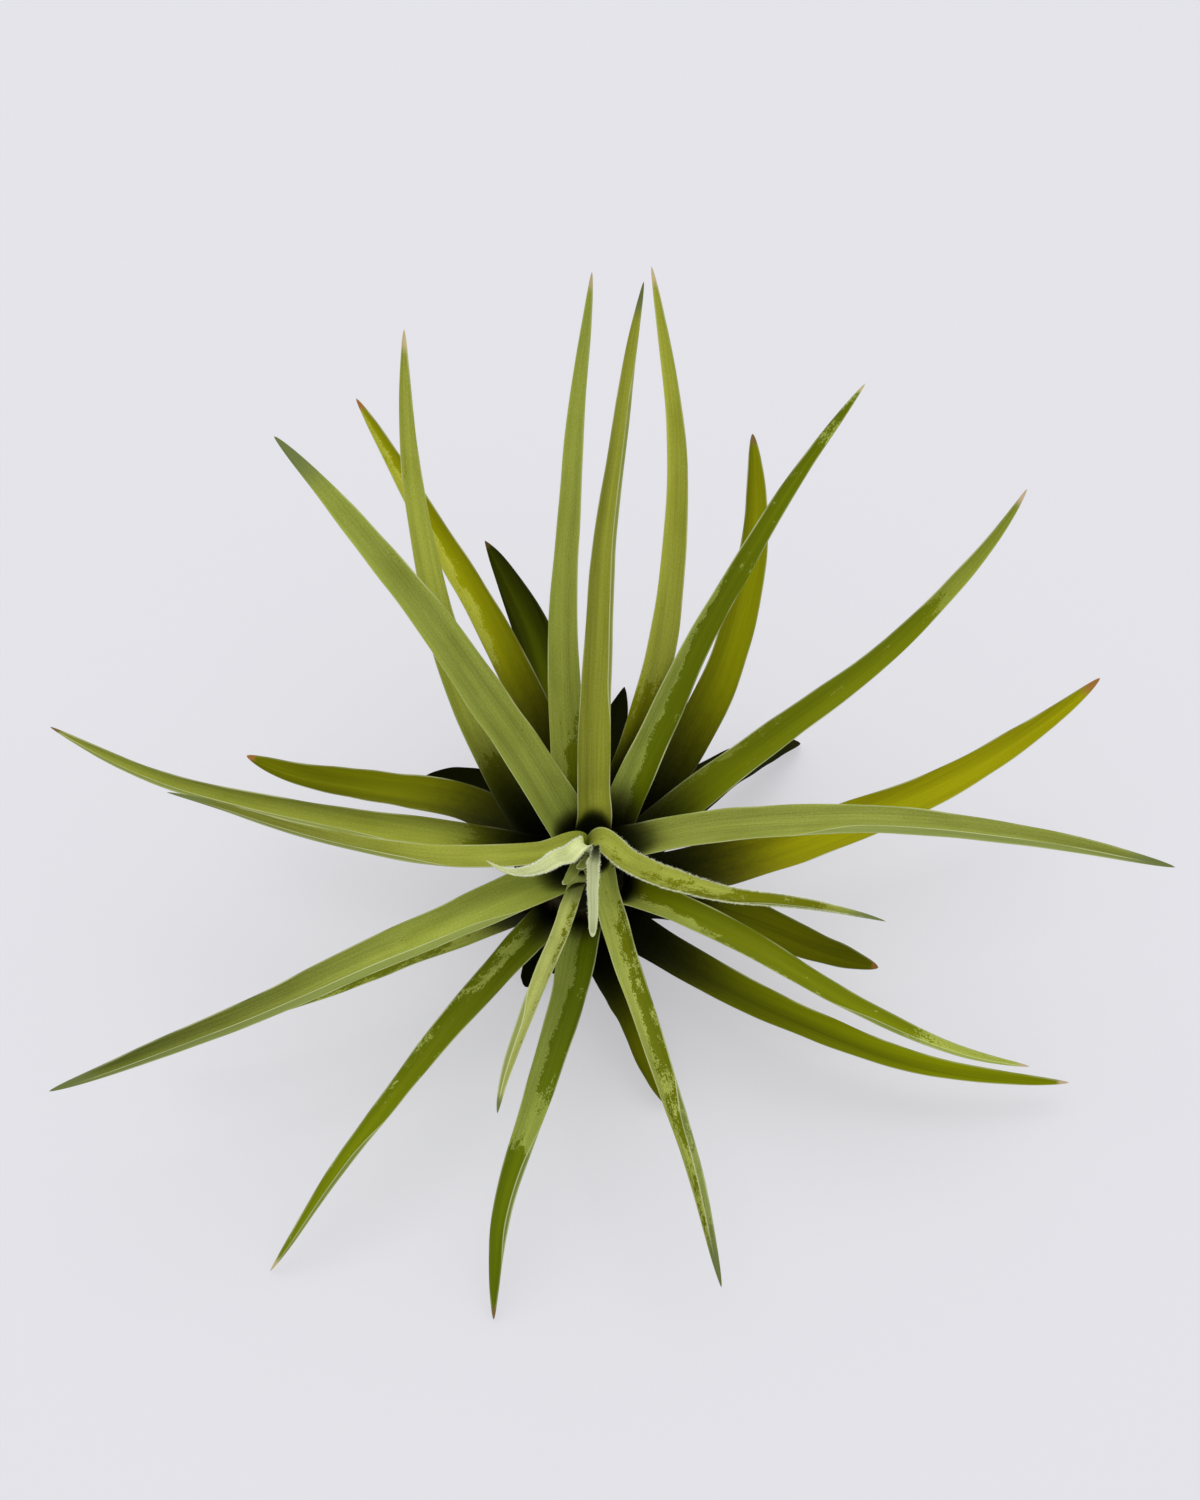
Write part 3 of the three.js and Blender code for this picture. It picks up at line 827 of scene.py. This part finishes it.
tints = {
    "wetGreen": colour(0.075, 0.112, 0.0005),
    "wetYellow": colour(0.275, 0.265, 0.002),
    "dryGreen": colour(0.36, 0.43, 0.075),
    "dryYellow": colour(0.45, 0.445, 0.03),
    "scale": colour(0.72, 0.77, 0.42),
    # the root's brown is partly the sheath's own colour and partly painted shade, and shade is painted
    # shade, near black
    "rootBrownAndShade": colour(0.036, 0.034, 0.003),
    "shade": colour(0.004, 0.005, 0.001),
    "margin": colour(0.66, 0.69, 0.36),
    "rolledUnder": colour(0.24, 0.29, 0.1),
    "shine": colour(0.75, 0.85, 0.3),
}

# The noises of the skin: how often each repeats in a centimetre along the leaf and across it, its detail
# and, where it isn't the usual one, its roughness.
skinNoises = {
    "teeth": (4.5, 10, 7, 0.8),
    "specks": (22, 34, 2),
    "lines": (0.4, 30, 2),
    # bands: painted shade along the leaf's channel
    "bands": (0.14, 4, 1),
    "clouds": (0.8, 2, 2),
    "lobes": (1.5, 4.5, 2),
}

skin = {
    "seedStep": 7.31,  # how far apart the patterns of two leaves lie
    "faceStep": 3.7,  # and those of a leaf's two faces
    "lobes": 1.4,  # how far these three move the edge of the dry scales
    "teeth": 1.8,
    "specks": 0.9,
    "lines": 0.55,  # how far these two change the brightness; the bands are painted shade along the channel
    "bands": 0.68,
    "frost": 0.3,  # how white the specks among dry scales are
    "thickBloom": 0.9,  # a bloom beyond this is white all over
    "bare": 0.3,  # how much of the wet colour shows through in clouds
    "underBloom": 0.45,  # how much whiter the lower face is
    "margin": 0.7,  # how pale the margins are
    "rolled": 0.5,  # and a rolled margin
    "foldHighlight": 0.75,  # and the line along its fold, a painted highlight on the crease
    "tipTeeth": 0.3,  # how ragged the edge of the tip's colour is
    "rootTeeth": 0.12,  # and that of the dark root
    # how far the root goes over to its brown, partly painted shade
    "brown": 0.6,
    "wetRoughness": 0.42,
    "dryRoughness": 0.22,  # how much rougher dry scales are
    "lineRelief": 0.6,
    "speckRelief": 0.5,
    "bump": 0.35,
    "bumpDepth": 0.00012,
}


# The skin's noises, on the leaf's own (length, width) places in centimetres, moved for each leaf and face.
def skinNoise(tree, seed, under):
    surface = addNode(tree, "ShaderNodeUVMap", uv_map="skin").outputs[0]
    seed = times(seed, skin["seedStep"])
    layer = times(under, skin["faceStep"])
    shift = joinNode("ShaderNodeCombineXYZ", {0: seed, 1: seed, 2: layer}).outputs[0]
    spot = joinNode("ShaderNodeVectorMath", {0: surface, 1: shift}, operation="ADD").outputs[0]
    return SimpleNamespace(**{
        name: stretchedNoise(spot, (along, across, 1), *grain)
        for name, (along, across, *grain) in skinNoises.items()
    })


# The colour of the scales: wet where the bloom is 0 and dry where it is 1, with white specks among dry
# scales, clouds of the wet colour, and a whiter lower face.
def scaleColour(given, noise, dryMask, under):
    bloom = times(given["Bloom"], dryMask)
    wet = blendColours(given["Yellow"], tints["wetGreen"], tints["wetYellow"])
    dry = blendColours(given["Yellow"], tints["dryGreen"], tints["dryYellow"])
    base = blendColours(maths("MINIMUM", bloom, 1.0), wet, dry)
    thick = maths("SUBTRACT", bloom, skin["thickBloom"], True)
    specked = times(mask(noise.specks, 0.3, 0.9), skin["frost"])
    base = blendColours(times(bloom, plus(specked, thick)), base, tints["scale"])
    bare = times(mask(noise.clouds, 0.4, 0.8), skin["bare"])
    base = blendColours(bare, base, wet)
    below = times(under, times(given["Bloom"], skin["underBloom"]))
    return blendColours(below, base, tints["scale"])


# The colour with its edges: pale margins, and a paler strip beyond a fold with a pale line along it, which
# is a painted highlight on the fold's crease.
def edgeColour(base, given, noise, inset, rolled):
    edge = maths("SUBTRACT", 1.0, mask(inset, 0.1, 0.32))
    edge = times(edge, mask(noise.clouds, 0.3, 0.7))
    edge = times(edge, maths("SUBTRACT", skin["margin"], given["Dark"], True))
    beyond = times(mask(rolled, 0, 0.15), skin["rolled"])
    base = blendColours(beyond, base, tints["rolledUnder"])
    # the pale line along the fold is a painted highlight on its crease
    offFold = mask(maths("ABSOLUTE", rolled), 0.03, 0.16)
    gaps = times(mask(noise.clouds, 0.1, 0.6), skin["foldHighlight"])
    foldHighlight = times(maths("SUBTRACT", 1.0, offFold), gaps)
    return blendColours(maths("MAXIMUM", edge, foldHighlight), base, tints["margin"])


# The colour with its ends: the tip's own colour, a root that goes over to brown and then near black,
# partly the sheath's own brown and partly painted shade deep in the crown, and the near black of dark
# leaves, partly their own old colour and partly painted shade under the leaves above.
def endColour(base, given, toothed, end, shade):
    ended = plus(end, times(toothed, skin["tipTeeth"]))
    base = blendColours(mask(ended, 0.1, 0.9), base, given["Tip Colour"])
    rootShadeRagged = plus(shade, times(toothed, skin["rootTeeth"]))
    brownedAndShaded = times(mask(rootShadeRagged, 0.1, 0.8), skin["brown"])
    base = blendColours(brownedAndShaded, base, tints["rootBrownAndShade"])
    base = blendColours(mask(rootShadeRagged, 0.3, 1), base, tints["shade"])
    return blendColours(given["Dark"], base, tints["shade"])


# The skin that all leaves share. Dry scales give a pale matt bloom, and wet ones let the green show through.
# The jagged edge between them is a mask of the dryness plus three noises. The colour is multiplied by the
# painted light and shade of each leaf, by soft bands along it, which are painted shade of its channel, and
# by fine lines along it.
def makeLeafSkin():
    tree = bpy.data.node_groups.new("leafSkin", "ShaderNodeTree")
    for name in ("Seed", "Yellow", "Bloom", "Dark", "Tip Colour", "Color", "Roughness", "Height"):
        way = "OUTPUT" if name in ("Color", "Roughness", "Height") else "INPUT"
        kind = "NodeSocketColor" if name in ("Tip Colour", "Color") else "NodeSocketFloat"
        tree.interface.new_socket(name, in_out=way, socket_type=kind)
    given = addNode(tree, "NodeGroupInput").outputs
    inset, under, dry, paintedLightTone, shade, end, rolled = (
        attribute(tree, n) for n in ("inset", "under", "dry", "paintedLightTone", "shade", "end", "rolled")
    )
    noise = skinNoise(tree, given["Seed"], under)
    lobed, toothed, speckled, striped, banded = (
        swing(getattr(noise, n), skin[n]) for n in ("lobes", "teeth", "specks", "lines", "bands")
    )
    ragged = plus(lobed, plus(toothed, speckled))
    dryMask = mask(plus(dry, ragged), 0.43, 0.57)
    base = scaleColour(given, noise, dryMask, under)
    # the painted light and shade of each leaf with its random tone, fine lines, and bands of painted shade
    # along the channel
    light = plus(paintedLightTone, plus(striped, banded))
    base = joinNode("ShaderNodeVectorMath", {0: base, 1: light}, operation="MULTIPLY").outputs[0]
    base = edgeColour(base, given, noise, inset, rolled)
    base = endColour(base, given, toothed, end, shade)
    rough = plus(times(dryMask, skin["dryRoughness"]), skin["wetRoughness"])
    grain = times(noise.specks, times(dryMask, skin["speckRelief"]))
    high = plus(times(noise.lines, skin["lineRelief"]), grain)
    addNode(tree, "NodeGroupOutput", {"Color": base, "Roughness": rough, "Height": high})
    return tree


# A leaf's material: the shared skin with the leaf's own values. Its shine is less on a dark leaf.
def leafMaterial(name, leafSkin, leaf, number):
    made, shader = newMaterial("skin_" + name)
    inputs = {
        "Seed": float(number), "Yellow": leaf.yellow, "Bloom": leaf.bloom, "Dark": leaf.dark,
        "Tip Colour": colour(*tipColours[leaf.tip]),
    }
    surface = addNode(made.node_tree, "ShaderNodeGroup", inputs, node_tree=leafSkin).outputs
    setInputs(shader, {
        "Base Color": surface["Color"], "Roughness": surface["Roughness"],
        "Normal": relief(surface["Height"], skin), "Specular Tint": tints["shine"],
        "Specular IOR Level": leaf.gloss * (1 - leaf.dark),
    })
    return made


# White wool: plain and matt.
def woolMaterial():
    shader = newMaterial("woolFibre")[1]
    setInputs(shader, {"Base Color": colour(*wool["colour"]), "Roughness": wool["roughness"]})


stemLook = {
    "fibres": (2000, 2000, 200),  # how often they repeat in a metre, along each axis
    "stains": (250, 250, 200),
    "between": colour(0.03, 0.018, 0.007),  # between the fibres
    "fibre": colour(0.1, 0.065, 0.028),
    "stain": colour(0.03, 0.026, 0.008),
    "lip": colour(0.3, 0.22, 0.11),
    # the top's near black is painted shade deep in the crown
    "top": colour(0.005, 0.006, 0.001),
    "lipPale": 0.5,
    "bump": 0.5,
    "bumpDepth": 0.0003,
    "roughness": 0.85,
    "gloss": 0.15,
}


# Dry sheaths: brown papery scales with lengthwise fibres, paler at their lips and near black towards the
# top, a painted shade where the stem lies deep in the crown.
def stemMaterial():
    made, shader = newMaterial("skin_stem")
    tree = made.node_tree
    surface = addNode(tree, "ShaderNodeTexCoord").outputs["Object"]
    fibres = stretchedNoise(surface, stemLook["fibres"], 4)
    stains = stretchedNoise(surface, stemLook["stains"], 3)
    fibrous = mask(fibres, 0.3, 0.7)
    base = blendColours(fibrous, stemLook["between"], stemLook["fibre"])
    base = blendColours(mask(stains, 0.4, 0.7), base, stemLook["stain"])
    lip = mask(attribute(tree, "lip"), 0.35, 0.6)
    base = blendColours(times(lip, stemLook["lipPale"]), base, stemLook["lip"])
    # painted shade: near black towards the top, deep in the crown
    top = mask(attribute(tree, "level"), 0.6, 0.9)
    base = blendColours(top, base, stemLook["top"])
    setInputs(shader, {
        "Base Color": base, "Normal": relief(fibres, stemLook), "Roughness": stemLook["roughness"],
        "Specular IOR Level": stemLook["gloss"],
    })
    return made


camera = {"place": (0.0074, -0.248, 0.386), "pitch": 52.0, "lens": 50.4, "sensor": 36, "nearest": 0.01}


# The camera, level from side to side, looking down along +Y by its pitch.
def buildCamera():
    made = addObject("camera", bpy.data.cameras.new("camera"))
    made.location = camera["place"]
    made.rotation_euler = (radians(90 - camera["pitch"]), 0, 0)
    made.data.lens = camera["lens"]
    made.data.sensor_width = camera["sensor"]
    made.data.clip_start = camera["nearest"]
    bpy.context.scene.camera = made


studio = {
    "floorColour": (0.80, 0.795, 0.83),
    "floorGlow": 0.4,  # its own light, which keeps the shadow under the plant pale
    "floorLit": 0.8,  # about how bright the lamps and the sky make it
    "floorRoughness": 0.9,
    "floorSize": 6.0,
    "keyPlace": (-0.1, 0.3, 1.5),
    "keySize": 1,
    "keyPower": 5.5,
    "fillPlace": (0.2, -0.8, 1.1),
    "fillSize": 1.2,
    "fillPower": 1.4,
    "aim": (0, 0, 0.04),  # the point that both lamps face
    "worldColour": (0.95, 0.96, 1.0),
    "worldLight": 0.74,
}


# A plain floor: a flat square under the plant. Its paint reflects less by what its own glow adds.
def buildFloor():
    half = studio["floorSize"] / 2
    corners = [(-half, -half, 0), (half, -half, 0), (half, half, 0), (-half, half, 0)]
    mesh = bpy.data.meshes.new("floor")
    mesh.from_pydata(corners, [], [(0, 1, 2, 3)])
    floor = addObject("floor", mesh)
    made, shader = newMaterial("floorPaint")
    paint = np.array(studio["floorColour"])
    reflected = 1 - studio["floorGlow"] / studio["floorLit"]
    setInputs(shader, {
        "Base Color": colour(*(paint * reflected)), "Roughness": studio["floorRoughness"],
        "Emission Color": colour(*(paint / paint.max())), "Emission Strength": studio["floorGlow"],
    })
    mesh.materials.append(made)


# A square lamp that faces the studio's aim.
def addLight(name, spot, size, power):
    lamp = bpy.data.lights.new(name, "AREA")
    lamp.size = size
    lamp.energy = power
    made = addObject(name, lamp)
    made.location = spot
    made.rotation_mode = "QUATERNION"
    made.rotation_quaternion = Vector(np.array(studio["aim"]) - np.array(spot)).to_track_quat("-Z", "Y")


# Two soft lamps, an even pale sky, and colours shown as they are.
def buildLights():
    for lamp in ("key", "fill"):
        addLight(lamp + "Light", studio[lamp + "Place"], studio[lamp + "Size"], studio[lamp + "Power"])
    world = bpy.data.worlds.new("studio")
    world.use_nodes = True
    light = {"Color": colour(*studio["worldColour"]), "Strength": studio["worldLight"]}
    setInputs(world.node_tree.nodes["Background"], light)
    bpy.context.scene.world = world
    bpy.context.scene.view_settings.view_transform = "Standard"


buildCamera()
buildFloor()
buildLights()
print("studio ready")

leafSkin = makeLeafSkin()
woolMaterial()
for number, name in enumerate(leafShapes):
    leaf = describeLeaf(name)
    piece = buildLeaf(name, leaf, number)
    piece.data.materials.append(leafMaterial(name, leafSkin, leaf, number))
print("leaves ready:", len(leafShapes))

buildStem().data.materials.append(stemMaterial())
print("stem ready")
